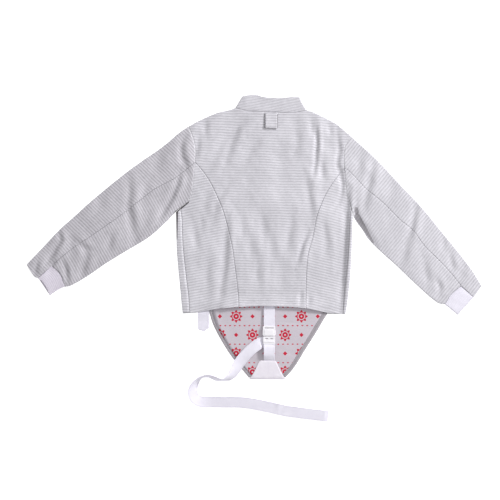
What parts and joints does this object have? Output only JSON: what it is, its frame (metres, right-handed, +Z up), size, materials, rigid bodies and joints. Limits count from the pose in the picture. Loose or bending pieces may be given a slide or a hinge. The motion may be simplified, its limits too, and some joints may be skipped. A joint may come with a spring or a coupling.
{
  "type": "fencing lame laid flat",
  "caption": "Long-sleeved conducting fencing over-jacket laid flat, back up, with its bib, buckled crotch strap and loose tail.",
  "frame": {"origin": "on the floor under the garment's centre line, about level with the underarms, where the front panel rests", "axes": "+X from the left wrist to the right one as seen from above, +Y from the hem to the collar, +Z up"},
  "size_m": [1.2265, 0.8824, 0.0297],
  "materials": {
    "lame_cloth": "fine ribbed conducting cloth, soft metallic sheen",
    "lining_cloth": "matt printed lining",
    "webbing": "woven white webbing",
    "elastic": "ribbed white elastic",
    "white_plastic": "moulded, semi-gloss"
  },
  "bodies": {
    "root": {"back_centre": "lame_cloth", "back_side_left": "lame_cloth", "back_side_right": "lame_cloth", "front_left": "lame_cloth", "front_right": "lame_cloth", "front_placket": "lame_cloth", "bib_lining": "lining_cloth", "collar": "lame_cloth", "clip_tab": "lame_cloth", "sleeve_left_top": "lame_cloth", "sleeve_left_under": "lame_cloth", "sleeve_right_top": "lame_cloth", "sleeve_right_under": "lame_cloth", "cuff_left": "elastic", "cuff_right": "elastic", "strap_upper": "webbing", "strap_lower": "webbing", "strap_patch": "webbing", "strap_tail": "webbing", "side_strap": "webbing", "buckle_female": "white_plastic", "buckle_male": "white_plastic"}
  },
  "joints": []
}
